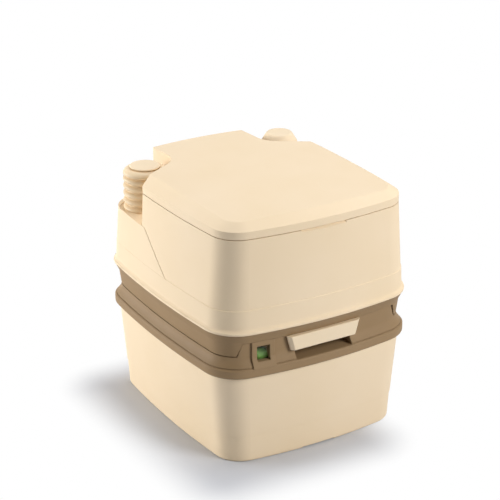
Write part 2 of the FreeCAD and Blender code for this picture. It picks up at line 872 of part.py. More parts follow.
pane_half = window_half - s.clearance
piece("indicator_pane", panel_box("indicator_pane", (-pane_half, pane_half),
                                  (s.wall - s.pane_thickness, s.wall),
                                  (window_low + s.clearance, window_high - s.clearance)))
piece("indicator_axle", panel_rod("indicator_axle", s.axle_radius - s.pin_fit,
                                  (-housing_half, housing_half),
                                  s.drum_depth, axle_level))
hub_start = s.clearance - window_half
hub_end = hub_start + s.arm_width
drum_end = window_half - s.clearance
drum_bore = panel_rod("drum_bore", s.axle_radius + s.clearance, (-window_half, window_half),
                      s.drum_depth, axle_level)
drum_solid = panel_rod("drum_solid", s.drum_radius, (hub_end, drum_end), s.drum_depth, axle_level)
piece("indicator_drum", cut("indicator_drum", drum_solid, drum_bore))

arm_hub = panel_rod("arm_hub", s.arm_hub_radius, (hub_start, hub_end), s.drum_depth, axle_level)
arm_bar = box("arm_bar", (hub_start, hub_end), (0.0, s.float_reach), (-s.arm_width / 2, s.arm_width / 2))
arm_foot_y = s.drum_depth - s.arm_width / 2 * sine(s.float_angle)
arm_foot_z = axle_level - s.arm_width / 2 * cosine(s.float_angle)
arm_turn = frame_turn.multiply(FreeCAD.Rotation(V(1, 0, 0), -s.float_angle.number))
place(arm_bar, *on_panel(hub_start, arm_foot_y), arm_foot_z, arm_turn)
piece("float_arm", cut("float_arm", fuse("arm_solid", arm_hub, arm_bar), drum_bore))
float_y = s.drum_depth + s.float_reach * cosine(s.float_angle)
float_z = axle_level - s.float_reach * sine(s.float_angle)
piece("float", panel_rod("float", s.float_radius, (hub_end, hub_end + s.float_length), float_y, float_z))


# Pour-out spout: an elbow that swivels in a collar, with a screw cap and its seal

elbow_low = s.pocket_floor + s.clearance
elbow_rise = s.spout_level - s.spout_bend
elbow_turn = s.spout_x + s.spout_bend
elbow_end = s.spout_x + s.spout_reach
BEND_FRAME = FreeCAD.Rotation(V(-1, 0, 0), V(0, 0, 1), V(0, 1, 0), "XYZ")


def elbow(name, radius):
    bend = doc.addObject("Part::Torus", name + "_bend")
    bind(bend, Radius1=s.spout_bend, Radius2=radius)
    bend.Angle3 = 90
    place(bend, elbow_turn, s.spout_y, elbow_rise, BEND_FRAME)
    riser = rod(name + "_riser", radius, "Z", (elbow_low, elbow_rise), spout_at)
    reach = rod(name + "_reach", radius, "X", (elbow_turn, elbow_end), (s.spout_y, s.spout_level))
    return fuse(name, riser, bend, reach)


flange_top = elbow_low + s.spout_flange_wall
flange_radius = s.spout_radius + s.spout_flange
elbow_flange = rod("elbow_flange", flange_radius, "Z", (elbow_low, flange_top), spout_at)
piece("spout_elbow", cut("spout_elbow", fuse("elbow_solid", elbow("elbow_outer", s.spout_radius),
                                             elbow_flange),
                         elbow("elbow_bore", s.spout_radius - s.spout_wall)))

collar_lip = flange_top + s.clearance
collar_top = collar_lip + s.collar_wall
collar_outer = flange_radius + s.clearance + s.collar_wall
collar_inner = s.spout_radius + s.clearance
piece("spout_collar", turned("spout_collar", [
    (flange_radius + s.clearance, s.pocket_floor), (collar_outer, s.pocket_floor),
    (collar_outer, collar_top), (collar_inner, collar_top), (collar_inner, collar_lip),
    (flange_radius + s.clearance, collar_lip)],
    (s.spout_x, s.spout_y, 0)))

seal_start = elbow_end + s.clearance
seal_end = seal_start + s.cap_seal
piece("spout_cap_seal", rod("spout_cap_seal", s.spout_radius, "X", (seal_start, seal_end),
                            (s.spout_y, s.spout_level)))
cap_end = seal_end + s.cap_wall
cap_bore = s.spout_radius + s.clearance
cap_radius = cap_bore + s.cap_wall
cap_inside = s.cap_grip - s.cap_wall
spout_cap = turned("spout_cap", [
    (cap_bore, 0.0), (cap_radius, 0.0), (cap_radius, s.cap_grip), (0.0, s.cap_grip),
    (0.0, cap_inside), (cap_bore, cap_inside)], (cap_end - s.cap_grip, s.spout_y, s.spout_level), "X")
piece("spout_cap", fluted("spout_cap", spout_cap, cap_radius + s.cap_wall / 2, s.cap_wall, s.cap_lobes))


# Air vent: a push button in the rear wall, in front of a rubber diaphragm

boss_back = vent_face - 4 * s.wall
button_face = vent_face + s.wall + s.vent_proud
vent_in = boss_back + s.vent_travel + s.clearance
vent_length = button_face - vent_in
piece("vent_button", turned("vent_button", [
    (0.0, 0.0), (s.vent_radius, 0.0), (s.vent_radius, vent_length - s.vent_proud / 2),
    (s.vent_radius * 0.75, vent_length), (0.0, vent_length)], (-s.vent_x, vent_in, s.vent_level), "Y"))
piece("vent_diaphragm", rod("vent_diaphragm", s.vent_radius + s.wall / 2, "Y",
                            (boss_back - s.wall / 2, boss_back), (-s.vent_x, s.vent_level)))


# Rear latch: a hooked lever on a pin, shown released

lever_half = s.latch_thickness / 2
hook_low = s.catch_level + s.catch_height + s.clearance - s.latch_pivot_level
hook_tip = -lever_half - s.clearance - s.latch_hook
lever_top = s.latch_top - s.latch_pivot_level
lever_foot = -s.latch_thickness
lever = padded("latch_lever", [
    (-lever_half, lever_foot), (lever_half, lever_foot), (lever_half, lever_top), (hook_tip, lever_top),
    (hook_tip, hook_low), (-lever_half, hook_low)], "YZ_Plane", (-s.latch_half, s.latch_half))
lever_hole = rod("lever_hole", s.latch_pin_radius + s.pin_fit, "X", (-s.latch_half, s.latch_half),
                 (0.0, 0.0))
latch_lever = cut("latch_lever", lever, lever_hole)
place(latch_lever, 0, latch_y, s.latch_pivot_level, FreeCAD.Rotation(V(1, 0, 0), -s.latch_tilt.number))
piece("latch_lever", latch_lever)
piece("latch_pin", rod("latch_pin", s.latch_pin_radius - s.pin_fit, "X",
                       (-latch_side - s.wall, latch_side + s.wall), (latch_y, s.latch_pivot_level)))


# Flush base: the brown skirt under the flange, and the tray that closes the water tank

skirt_low = s.waist_level + s.skirt_gap
base_top = s.flange_level
skirt_root = base_top - s.skirt_flare


def skirt_form(name, top, deeper):
    """The skirt's drafted wall with the flare above it, each set in by the same amount."""
    wall = loft(name + "_wall", ring(name + "_foot", s.waist_inset + deeper, skirt_low),
                ring(name + "_root", s.skirt_root_inset + deeper, skirt_root))
    flare = loft(name + "_flare", ring(name + "_turn", s.skirt_root_inset + deeper, skirt_root),
                 ring(name + "_lip", s.skirt_lip_inset + deeper, top))
    return fuse(name, wall, flare)


skirt = skirt_form("skirt", base_top, 0)
skirt_hollow = skirt_form("skirt_hollow", base_top - s.flange_wall, s.tray_rib)
tray = slab("tray", s.tray_inset, tray_bottom, base_top)
tray_space = slab("tray_space", s.tray_inset + s.tray_rib, tray_bottom + s.tray_wall, base_top)
joint_inset = s.skirt_inset + s.wall + 2 * s.clearance
joint_ring = cut("joint_ring", slab("joint_outer", joint_inset, base_top, base_top + s.joint_height),
                 slab("joint_inner", joint_inset + s.tray_rib, base_top, base_top + s.joint_height))
catch_y = rear_half - s.tray_inset
catch = box("catch", (-s.latch_half, s.latch_half), (catch_y - s.tray_rib, catch_y + s.catch_reach),
            (s.catch_level, s.catch_level + s.catch_height))
gap_belt = cut("gap_belt", slab("gap_outer", -s.wall, skirt_low - s.wall, s.panel_level + s.clearance),
               slab("gap_inner", s.tray_inset - s.clearance, skirt_low - s.wall,
                    s.panel_level + s.clearance))
front_gap = common("front_gap", gap_belt,
                   front_wedge("gap_wedge", s.skirt_gap, skirt_low - s.wall, s.panel_level + s.clearance))
latch_gap = box("latch_gap", (-latch_side - s.wall, latch_side + s.wall), (catch_y + s.clearance, far_y),
                (skirt_low - s.wall, base_top - s.flange_wall))
outlet_radius = s.valve_radius + s.wall
outlet_hole = rod("outlet_hole", outlet_radius + s.clearance, "Z",
                  (tray_bottom, tray_bottom + 2 * s.tray_wall), valve_at)
base_shell = fuse("base_shell", cut("skirt_shell", skirt, skirt_hollow), tray, joint_ring)
base_open = cut("base_open", base_shell, tray_space, front_gap, latch_gap, outlet_hole)
piece("flush_base", fuse("flush_base", base_open, catch))


# Flush tank shell: bead, lip and drafted walls, with the two rear corners cut down to platforms

def notch(name, side, wider, low):
    """The cut at a rear corner: a round around the tower axis that runs out to both walls."""
    radius = s.notch_radius + wider
    top = s.lid_top + s.wall
    inner_x = s.pump_x - radius
    touch_x = s.pump_x - radius * sine(s.notch_angle)
    touch_y = s.pump_y - radius * cosine(s.notch_angle)
    run_out = touch_y - (far_x - touch_x) * sine(s.notch_angle) / cosine(s.notch_angle)
    points = [(side * inner_x, s.pump_y), (side * inner_x, far_y), (side * far_x, far_y),
              (side * far_x, run_out), (side * touch_x, touch_y)]
    block = padded(name + "_block", points, "XY_Plane", (low, top))
    well = rod(name + "_round", radius, "Z", (low, top), (side * s.pump_x, s.pump_y))
    return fuse(name, block, well)


def swell(name, side, top):
    """The slightly proud tower wall, which ends at the front in a slanted crease."""
    climb = (top - s.swell_foot) / (s.pump_platform - s.swell_foot)
    inset = s.swell_foot_inset + (s.swell_inset - s.swell_foot_inset) * climb
    front = s.swell_front_low + (s.swell_front_high - s.swell_front_low) * climb
    wall = loft(name + "_wall", ring(name + "_foot", s.swell_foot_inset, s.swell_foot),
                ring(name + "_top", inset, top))
    points = [(s.swell_front_low, s.swell_foot), (far_y, s.swell_foot), (far_y, top), (front, top)]
    span = (-far_x, -s.pump_x / 2) if side < 0 else (s.pump_x / 2, far_x)
    return common(name, wall, padded(name + "_wedge", points, "YZ_Plane", span))


def rim_outline(name, inset, level, bevel=0, shift=0):
    return outline(name, s.rim_width - 2 * inset - 2 * bevel, s.rim_depth - 2 * inset - bevel,
                   s.rim_corner - inset - bevel, level, shift)


def oval(name, half_width, half_depth, y, level):
    curve = doc.addObject("Part::Ellipse", name)
    bind(curve, MajorRadius=half_depth, MinorRadius=half_width)
    return place(curve, 0, y, level, FreeCAD.Rotation(V(0, 0, 1), 90))


bead_top = s.flange_level + s.bead_height
lip_top = bead_top + s.lip_height
deck_bottom = s.deck_level - s.wall
bead_block = slab("bead_block", 0, s.flange_level, bead_top)


def bead_edge(edge):
    return level_edges(s.flange_level)(edge) or level_edges(bead_top)(edge)


bead = rounded("bead", bead_block, s.bead_radius, bead_edge)
lip = cove("lip", bead_top - s.bead_radius, lip_top, s.lip_inset, s.skirt_inset)
core = slab("core", s.skirt_inset, s.flange_level, bead_top)
low_wall = loft("low_wall", ring("low_wall_foot", s.skirt_inset, lip_top),
                ring("low_wall_top", s.ledge_inset, s.ledge_level))
ledge_top = s.ledge_level + s.ledge_step
ledge = loft("ledge", ring("ledge_foot", s.ledge_inset, s.ledge_level),
             ring("ledge_brow", s.ledge_inset + s.ledge_step, ledge_top))
high_wall = loft("high_wall", ring("high_wall_foot", s.ledge_inset + s.ledge_step, ledge_top),
                 rim_outline("high_wall_top", 0, s.deck_level))
shell_hull = fuse("shell_hull", bead, core, lip, low_wall, ledge, high_wall,
                  swell("swell_left", -1, s.pump_platform), swell("swell_right", 1, s.fill_platform))

pump_seat = s.pump_platform - s.cup_depth
bay_half = s.pump_x - s.notch_radius + s.seat_gap
bay = box("bay", (-bay_half, bay_half), (s.bay_front, far_y), (s.bay_floor, s.lid_top))
bay_wall = box("bay_wall", (-bay_half - s.wall, bay_half + s.wall), (s.bay_front - s.wall, far_y),
               (s.bay_floor - s.wall, s.lid_top))
tank_hollow = loft("tank_hollow", ring("tank_hollow_low", s.skirt_inset + s.wall, s.flange_level),
                   ring("tank_hollow_mid", s.ledge_inset + s.ledge_step + s.wall, s.ledge_level),
                   rim_outline("tank_hollow_high", s.wall, deck_bottom))
tank_space = cut("tank_space", tank_hollow, notch("left_tower_wall", -1, s.wall, pump_seat - s.wall),
                 notch("right_tower_wall", 1, s.wall, s.fill_platform - s.wall), bay_wall)
deck_opening = extrude("deck_opening", oval("deck_oval", s.bowl_half_width, s.bowl_half_depth, s.bowl_y,
                                            deck_bottom - s.wall), 3 * s.wall)
cup = rod("cup", s.cup_radius, "Z", (pump_seat, s.pump_platform + s.wall), pump_at)
pump_hole = rod("pump_hole", s.pump_body_radius + s.clearance, "Z", (pump_seat - 2 * s.wall, pump_seat),
                pump_at)
neck_top = s.fill_platform + s.neck_height
neck = rod("neck", s.neck_radius, "Z", (s.fill_platform - s.wall, neck_top), fill_at)
neck_bore = rod("neck_bore", s.neck_radius - s.wall, "Z", (s.fill_platform - 2 * s.wall, neck_top), fill_at)
rim_front = -s.rim_depth / 2
finger_scoop = padded("finger_scoop", [
    (rim_front - s.finger_depth, s.deck_level - 2 * s.finger_depth), (rim_front + s.finger_depth,
                                                                      s.deck_level),
    (rim_front - s.finger_depth, s.deck_level)], "YZ_Plane", (-s.finger_half, s.finger_half))
hinge_at = (s.hinge_y, s.hinge_level)
knuckle_low = s.hinge_level - s.hinge_knuckle
knuckle_high = s.hinge_level + s.hinge_knuckle
arm_back = s.bay_front - s.wall


def mirrored_span(side, near, width):
    """The span of a hinge part on the left or the right of the middle."""
    return (near, near + width) if side > 0 else (-near - width, -near)


def hinge_part(name, side, near, width, points, bore):
    """A knuckle round the hinge axis with the web that carries it, bored for the pin."""
    span = mirrored_span(side, near, width)
    web = padded(name + "_web", points, "YZ_Plane", span)
    knuckle = rod(name + "_knuckle", s.hinge_knuckle, "X", span, hinge_at)
    return cut(name, fuse(name + "_solid", web, knuckle), rod(name + "_bore", bore, "X", span, hinge_at))


arm_points = [(arm_back, deck_bottom), (s.hinge_y, knuckle_low), (s.hinge_y, knuckle_high),
              (arm_back, s.deck_level)]
hinge_arms = [hinge_part("hinge_arm", side, s.hinge_arm_x, s.hinge_arm, arm_points, s.hinge_pin_radius)
              for side in (-1, 1)]
shell_walls = cut("shell_walls", shell_hull, notch("left_notch", -1, 0, s.pump_platform),
                  notch("right_notch", 1, 0, s.fill_platform), bay, tank_space, deck_opening, cup, pump_hole,
                  finger_scoop)
shell_solid = fuse("shell_solid", shell_walls, neck, *hinge_arms)
piece("flush_tank_shell", cut("flush_tank_shell", shell_solid, neck_bore))


# Bowl: a rounded funnel hung under the deck, and the outlet pipe that leads from it to the valve

bowl_mid_y = (s.bowl_y + s.valve_y) / 2
bowl_mid_width = s.bowl_half_width * s.bowl_waist_share
bowl_mid_depth = s.bowl_half_depth * s.bowl_waist_share


def funnel(name, wider):
    radius = s.valve_radius + wider
    return loft(name,
                oval(name + "_rim", s.bowl_half_width + wider, s.bowl_half_depth + wider, s.bowl_y,
                     deck_bottom),
                oval(name + "_mid", bowl_mid_width + wider, bowl_mid_depth + wider, bowl_mid_y,
                     s.bowl_waist_level),
                oval(name + "_throat", radius, radius, s.valve_y, s.outlet_level), smooth=True)


bowl_flange = extrude("bowl_flange", oval("bowl_flange_oval", s.bowl_half_width + s.bowl_rim,
                      s.bowl_half_depth + s.bowl_rim, s.bowl_y, deck_bottom - s.wall), s.wall)
way_x = s.pump_x
way_y = bowl_mid_y - s.pump_y
way_length = root(way_x * way_x + way_y * way_y)
way_turn = FreeCAD.Rotation(V(0, 0, 1), math.degrees(math.atan2(way_y.number, way_x.number)))


def water_rod(name, radius, start, end):
    """A rod on the line from the pump axis to the middle of the bowl."""
    solid = rod(name, radius, "X", (start, end), (0.0, 0.0))
    return place(solid, -s.pump_x + way_x * start / way_length, s.pump_y + way_y * start / way_length,
                 s.bowl_waist_level, way_turn.multiply(ALONG["X"]))


slope_x = way_x / way_length / (bowl_mid_width + s.wall)
slope_y = way_y / way_length / (bowl_mid_depth + s.wall)
bowl_start = way_length - 1 / root(slope_x * slope_x + slope_y * slope_y)
nozzle_hole = water_rod("nozzle_hole", s.tube_radius, bowl_start - 2 * s.wall, bowl_start + 3 * s.wall)
piece("bowl", cut("bowl", fuse("bowl_solid", funnel("bowl_outer", s.wall), bowl_flange),
                  funnel("bowl_inner", 0), nozzle_hole))
piece("outlet_pipe", tube("outlet_pipe", outlet_radius, s.valve_radius, "Z", (tray_bottom, s.outlet_level),
                          valve_at))


# Bellows pump: ribbed bellows and button over a valve body, with its tube to the water

bellows_low = pump_seat + s.bellows_foot
ribs = int(s.bellows_ribs.number)


def rib_chain(thinner):
    """The ribbed wall from the foot upwards: a valley and a crest for each rib, then the shoulder."""
    chain = []
    for rib in range(ribs + 1):
        start = bellows_low + s.bellows_pitch * rib
        valley = s.bellows_valley - thinner
        crest = s.bellows_radius - thinner
        chain += [(valley, start + s.bellows_pitch / 8), (valley, start + s.bellows_pitch * 3 / 8),
                  (crest, start + s.bellows_pitch * 5 / 8), (crest, start + s.bellows_pitch * 7 / 8)]
    return chain


bellows_high = bellows_low + s.bellows_pitch * ribs + s.bellows_top
shoulder_radius = s.button_radius + s.bellows_wall
plug_hole = s.plug_radius + s.clearance
bellows_profile = [(s.bellows_valley - s.bellows_wall, pump_seat), (s.bellows_radius, pump_seat),
                   (s.bellows_radius, bellows_low)]
bellows_profile += rib_chain(0)
bellows_profile += [(shoulder_radius, bellows_high + s.bellows_wall),
                    (plug_hole, bellows_high + s.bellows_wall),
                    (plug_hole, bellows_high), (shoulder_radius - s.bellows_wall, bellows_high)]
bellows_profile += reversed(rib_chain(s.bellows_wall))
piece("pump_bellows", turned("pump_bellows", bellows_profile, (*pump_at, 0)))

button_low = bellows_high + s.bellows_wall
button_rim_top = button_low + s.button_rim
piece("pump_button", turned("pump_button", [
    (0.0, button_low - s.plug_depth), (s.plug_radius, button_low - s.plug_depth), (s.plug_radius,
                                                                                   button_low),
    (s.button_radius, button_low), (s.button_radius, button_rim_top),
    (s.button_radius - s.button_dome, button_rim_top + s.button_dome / 2),
    (s.button_radius / 2, button_rim_top + s.button_dome), (0.0, button_rim_top + s.button_dome)],
    (*pump_at, 0)))

collar_under = bellows_low + s.bellows_pitch / 8
collar_over = bellows_low + s.bellows_pitch * 3 / 8
collar_in = s.bellows_valley + 3 * s.clearance
collar_foot = s.bellows_radius + s.clearance
collar_out = s.cup_radius - s.clearance
piece("pump_collar", turned("pump_collar", [
    (collar_foot, pump_seat), (collar_out, pump_seat), (collar_out, collar_over), (collar_in, collar_over),
    (collar_in, collar_under), (collar_foot, collar_under)], (*pump_at, 0)))

body_low = pump_seat - s.pump_body_depth
body_floor = body_low + s.wall
body_bore = s.pump_body_radius - s.wall
body_flange = s.bellows_valley - s.bellows_wall - s.clearance
pump_shape = turned("pump_shape", [
    (s.tube_radius, body_low), (s.pump_body_radius, body_low), (s.pump_body_radius, pump_seat),
    (body_flange, pump_seat), (body_flange, pump_seat + s.bellows_foot), (body_bore,
                                                                          pump_seat + s.bellows_foot),
    (body_bore, body_floor), (s.tube_radius, body_floor)], (*pump_at, 0))
pump_port = water_rod("pump_port", s.tube_radius - s.tube_wall, body_bore - s.wall,
                      s.pump_body_radius + s.wall)
piece("pump_body", cut("pump_body", pump_shape, pump_port))
tray_floor = tray_bottom + s.tray_wall
piece("intake_tube", tube("intake_tube", s.tube_radius - s.pin_fit, s.tube_radius - s.tube_wall, "Z",
                          (tray_floor + s.tube_foot, body_floor), pump_at))
piece("pump_flap", rod("pump_flap", s.flap_radius, "Z", (body_floor, body_floor + s.tube_wall), pump_at))

nozzle_start = bowl_start - s.nozzle_neck
nozzle_end = bowl_start + s.nozzle_reach
tube_start = s.pump_body_radius + s.clearance
piece("flush_nozzle", cut("flush_nozzle", water_rod("nozzle_outer", s.tube_radius - s.pin_fit,
                                                    nozzle_start, nozzle_end),
                          water_rod("nozzle_bore", s.tube_radius - s.tube_wall, nozzle_start, nozzle_end)))
piece("flush_tube", cut("flush_tube", water_rod("flush_tube_outer", s.tube_radius, tube_start,
                                                nozzle_start),
                        water_rod("flush_tube_bore", s.tube_radius - s.tube_wall, tube_start,
                                  nozzle_start)))


# Fresh water filler: a fluted cap with a flat seal over the neck

cap_low = s.fill_platform + s.fill_cap_lift
cap_high = cap_low + s.fill_cap_height
fill_seal_low = neck_top + s.clearance
fill_seal_high = fill_seal_low + s.fill_seal
fill_bore = s.neck_radius + 2 * s.clearance
fill_cap = turned("fill_cap", [
    (fill_bore, cap_low), (s.fill_cap_radius, cap_low), (s.fill_cap_radius, cap_low + s.fill_cap_skirt),
    (s.fill_cap_crown + s.fill_cap_edge, cap_high - s.fill_cap_edge), (s.fill_cap_crown, cap_high),
    (0.0, cap_high), (0.0, fill_seal_high), (fill_bore, fill_seal_high)], (*fill_at, 0))
piece("fill_cap", fluted("fill_cap", fill_cap, s.fill_cap_radius + 3 * s.fill_cap_edge, 4 * s.fill_cap_edge,
                         s.fill_cap_flutes))
piece("fill_cap_seal", tube("fill_cap_seal", fill_bore - s.clearance, s.neck_radius - s.wall, "Z",
                            (fill_seal_low, fill_seal_high), fill_at))


# Seat: a flat ring that slopes down to its edge, on two hinge lugs and four bumpers

seat_low = s.deck_level + s.seat_gap
seat_edge_top = seat_low + s.seat_edge
seat_top = seat_low + s.seat_height
seat_base = extrude("seat_base", rim_outline("seat_outline", s.seat_inset, seat_low), s.seat_edge)
seat_slope = loft("seat_slope", rim_outline("seat_edge_outline", s.seat_inset, seat_edge_top),
                  rim_outline("seat_top_outline", s.seat_inset, seat_top, s.seat_slope, s.seat_slope / 2))
seat_opening = extrude("seat_opening", oval("seat_oval", s.seat_half_width, s.seat_half_depth, s.bowl_y,
                                            seat_low),
                       s.seat_height)
seat_wider = s.wall + s.seat_gap
seat_rear = box("seat_rear", (-far_x, far_x), (s.bay_front - seat_wider, far_y), (s.deck_level, s.lid_top))
seat_plate = cut("seat_plate", fuse("seat_blank", seat_base, seat_slope), seat_opening, seat_rear,
                 notch("seat_notch_left", -1, seat_wider, s.deck_level),
                 notch("seat_notch_right", 1, seat_wider, s.deck_level))
lug_bore = s.hinge_pin_radius + s.clearance
seat_lug_near = s.hinge_arm_x - s.hinge_gap - s.hinge_lug
lug_front = s.bay_front - seat_wider - s.wall
seat_lug_points = [(lug_front, seat_low), (s.hinge_y, knuckle_low), (s.hinge_y, knuckle_high),
                   (lug_front, seat_edge_top + s.wall)]
seat_lugs = [hinge_part("seat_lug", side, seat_lug_near, s.hinge_lug, seat_lug_points,
                        lug_bore) for side in (-1, 1)]
piece("seat", fuse("seat", seat_plate, *seat_lugs))
piece("seat_bumpers", group("seat_bumpers", *[
    rod("seat_bumper", s.bumper_radius, "Z", (s.deck_level + s.clearance, seat_low), (side * s.bumper_x, y))
    for side in (-1, 1) for y in (s.bumper_front, s.bumper_rear)]))


# Lid: rim, bevel and crown, notched round the towers, hollow below, on two hinge lugs

lid_low = s.deck_level + s.lid_gap
lid_rim_top = lid_low + s.lid_rim
lid_bevel_top = lid_rim_top + s.lid_bevel_rise


def lid_form(name, inset, lower):
    rim = extrude(name + "_rim", rim_outline(name + "_rim_outline", inset, lid_low), s.lid_rim - lower)
    bevel = loft(name + "_bevel", rim_outline(name + "_bevel_foot", inset, lid_rim_top - lower),
                 rim_outline(name + "_bevel_top", inset, lid_bevel_top - lower, s.lid_bevel_run,
                             s.lid_bevel_run / 2))
    crown = doc.addObject("Part::Sphere", name + "_crown")
    bind(crown, Radius=s.lid_crown_radius - inset)
    place(crown, 0, 0, s.lid_top - s.lid_crown_radius)
    return common(name, fuse(name + "_solid", rim, bevel), crown)


def crown_edge(edge):
    return edge.BoundBox.ZMin > lid_rim_top.number + s.lid_rim.number / 4


def rear_corner(name, side):
    """What is cut off to round a rear corner of the lid, between its notch and the bowed rear edge."""
    x = s.pump_x - s.notch_radius - s.lid_rear_radius
    reach = s.front_bow - s.lid_rear_radius
    rise = root(reach * reach - x * x)
    y = s.rim_depth / 2 - s.front_bow + rise
    run = 2 * s.lid_rear_radius
    span = (s.deck_level, s.lid_top + s.wall)
    points = [(side * x, y), (side * (x + run), y), (side * (x + run), y + run),
              (side * (x + run * x / rise), y + run)]
    block = padded(name + "_block", points, "XY_Plane", span)
    return cut(name, block, rod(name + "_round", s.lid_rear_radius, "Z", span, (side * x, y)))


lid_blank = rounded("lid_blank", lid_form("lid_outer", 0, 0), s.lid_edge_radius, crown_edge)
lid_notched = cut("lid_notched", lid_blank, notch("lid_notch_left", -1, 0, s.deck_level),
                  notch("lid_notch_right", 1, 0, s.deck_level), rear_corner("lid_rear_left", -1),
                  rear_corner("lid_rear_right", 1))
lid_hollow = cut("lid_hollow", lid_form("lid_inner", s.wall, s.wall / 3),
                 notch("lid_wall_left", -1, s.wall, s.deck_level), notch("lid_wall_right", 1, s.wall,
                                                                         s.deck_level))
lid_lug_near = s.hinge_arm_x + s.hinge_arm + s.hinge_gap
lid_lug_top = lid_bevel_top - s.lid_rim / 2
slot_width = s.hinge_arm + s.hinge_lug + 3 * s.hinge_gap
lid_slots = [box("lid_slot", mirrored_span(side, lid_lug_near - slot_width, slot_width), (s.hinge_y, far_y),
                 (lid_low, lid_lug_top - s.wall)) for side in (-1, 1)]
lid_lug_points = [(s.hinge_y - s.hinge_knuckle, s.hinge_level),
                  (s.hinge_y + s.hinge_knuckle, s.hinge_level),
                  (s.hinge_y + s.hinge_knuckle, lid_lug_top), (s.hinge_y - s.hinge_knuckle, lid_lug_top)]
lid_lugs = [hinge_part("lid_lug", side, lid_lug_near, s.hinge_lug, lid_lug_points,
                       lug_bore) for side in (-1, 1)]
piece("lid", fuse("lid", cut("lid_shell", lid_notched, lid_hollow, *lid_slots), *lid_lugs))

pin_length = s.hinge_arm + 2 * (s.hinge_gap + s.hinge_lug)
piece("hinge_pins", group("hinge_pins", *[
    rod("hinge_pin", s.hinge_pin_radius - s.pin_fit, "X", mirrored_span(side, seat_lug_near, pin_length),
        hinge_at)
    for side in (-1, 1)]))


# Every object is up to date and every piece is a sound shape before anything is written
doc.recompute()
faults = [item.Label for item in doc.Objects if "Invalid" in item.State or "Error" in item.State]
faults += [label for label, solid in pieces.items() if solid.Shape.isNull() or not solid.Shape.isValid()]
if faults:
    raise RuntimeError("failed objects: " + ", ".join(faults))
os.makedirs("parts", exist_ok=True)
for label, solid in pieces.items():
    solid.Shape.exportStep(f"parts/{label}.step")
    print(label, len(solid.Shape.Solids), round(solid.Shape.Volume / 1000, 1))
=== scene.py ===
import math

import bmesh
import bpy
from mathutils import Matrix, Vector


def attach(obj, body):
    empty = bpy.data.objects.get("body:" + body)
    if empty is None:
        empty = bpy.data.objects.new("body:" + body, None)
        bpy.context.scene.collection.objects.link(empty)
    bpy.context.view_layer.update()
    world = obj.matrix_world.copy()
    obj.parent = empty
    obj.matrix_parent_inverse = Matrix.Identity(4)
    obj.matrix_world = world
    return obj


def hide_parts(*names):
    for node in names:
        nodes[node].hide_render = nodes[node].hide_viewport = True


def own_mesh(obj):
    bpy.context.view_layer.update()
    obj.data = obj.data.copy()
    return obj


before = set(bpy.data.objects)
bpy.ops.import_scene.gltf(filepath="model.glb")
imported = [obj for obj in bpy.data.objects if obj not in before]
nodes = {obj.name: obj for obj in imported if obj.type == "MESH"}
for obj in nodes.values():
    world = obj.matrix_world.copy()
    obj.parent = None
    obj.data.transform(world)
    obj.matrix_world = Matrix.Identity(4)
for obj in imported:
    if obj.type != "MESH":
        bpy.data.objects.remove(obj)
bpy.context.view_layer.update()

# Waste tank tub: the lower tank, blow moulded in cream high density polyethylene.
# It stands on its flat foot rim and carries everything else on its brim.


def linear(hex_colour):
    """An sRGB hex colour as the linear colour that the shader sockets take."""
    parts = [int(hex_colour[i:i + 2], 16) / 255 for i in (1, 3, 5)]
    parts = [c / 12.92 if c <= 0.04045 else ((c + 0.055) / 1.055) ** 2.4 for c in parts]
    return (*parts, 1.0)


def add(tree, kind, settings=None, **inputs):
    """A new node with its settings. Each input is a value, or an output socket to link. It is
    named as in Blender with _ for a blank, or in0, in1 and so on for its place in the list."""
    made = tree.nodes.new(kind)
    for name, value in (settings or {}).items():
        setattr(made, name, value)
    for name, value in inputs.items():
        socket = made.inputs[int(name[2:]) if name.startswith("in") else name.replace("_", " ")]
        if isinstance(value, bpy.types.NodeSocket):
            tree.links.new(value, socket)
        else:
            socket.default_value = value
    return made


def finish_of(name):
    """A new material with its node tree, its shader and its place in the object's own frame."""
    material = bpy.data.materials.new(name)
    material.use_nodes = True
    tree = material.node_tree
    shader = tree.nodes["Principled BSDF"]
    place = add(tree, "ShaderNodeTexCoord").outputs["Object"]
    return material, tree, shader, place


def moulded(name, colour, deeper, roughness, grain_mm, edge_mm):
    """Moulded plastic: faint clouding from the mould, satin gloss that varies a little, and a fine
    sparked grain. The grain is drawn a few times coarser than the real one so that it shows, and
    edge_mm is the small radius that the mould leaves on every edge."""
    cloud_mm = 140
    patch_mm = 22
    grain_height_mm = 0.2
    material, tree, shader, place = finish_of(name)
    clouds = add(tree, "ShaderNodeTexNoise", Vector=place, Scale=1000 / cloud_mm, Detail=3.0)
    tint = add(tree, "ShaderNodeValToRGB", Fac=clouds.outputs["Fac"])
    dark_end, light_end = tint.color_ramp.elements
    dark_end.position = 0.3
    dark_end.color = linear(deeper)
    light_end.position = 0.7
    light_end.color = linear(colour)
    tree.links.new(tint.outputs["Color"], shader.inputs["Base Color"])
    patches = add(tree, "ShaderNodeTexNoise", Vector=place, Scale=1000 / patch_mm, Detail=4.0)
    satin = add(tree, "ShaderNodeMapRange", Value=patches.outputs["Fac"],
                To_Min=roughness - 0.05, To_Max=roughness + 0.06)
    tree.links.new(satin.outputs["Result"], shader.inputs["Roughness"])
    grain = add(tree, "ShaderNodeTexNoise", Vector=place, Scale=1000 / grain_mm, Detail=2.0)
    soft_edge = add(tree, "ShaderNodeBevel", {"samples": 6}, Radius=edge_mm / 1000)
    bump = add(tree, "ShaderNodeBump", Strength=0.12, Distance=grain_height_mm / 1000,
               Height=grain.outputs["Fac"], Normal=soft_edge.outputs["Normal"])
    tree.links.new(bump.outputs["Normal"], shader.inputs["Normal"])
    shader.inputs["IOR"].default_value = 1.54
    shader.inputs["Specular IOR Level"].default_value = 0.18
    return material


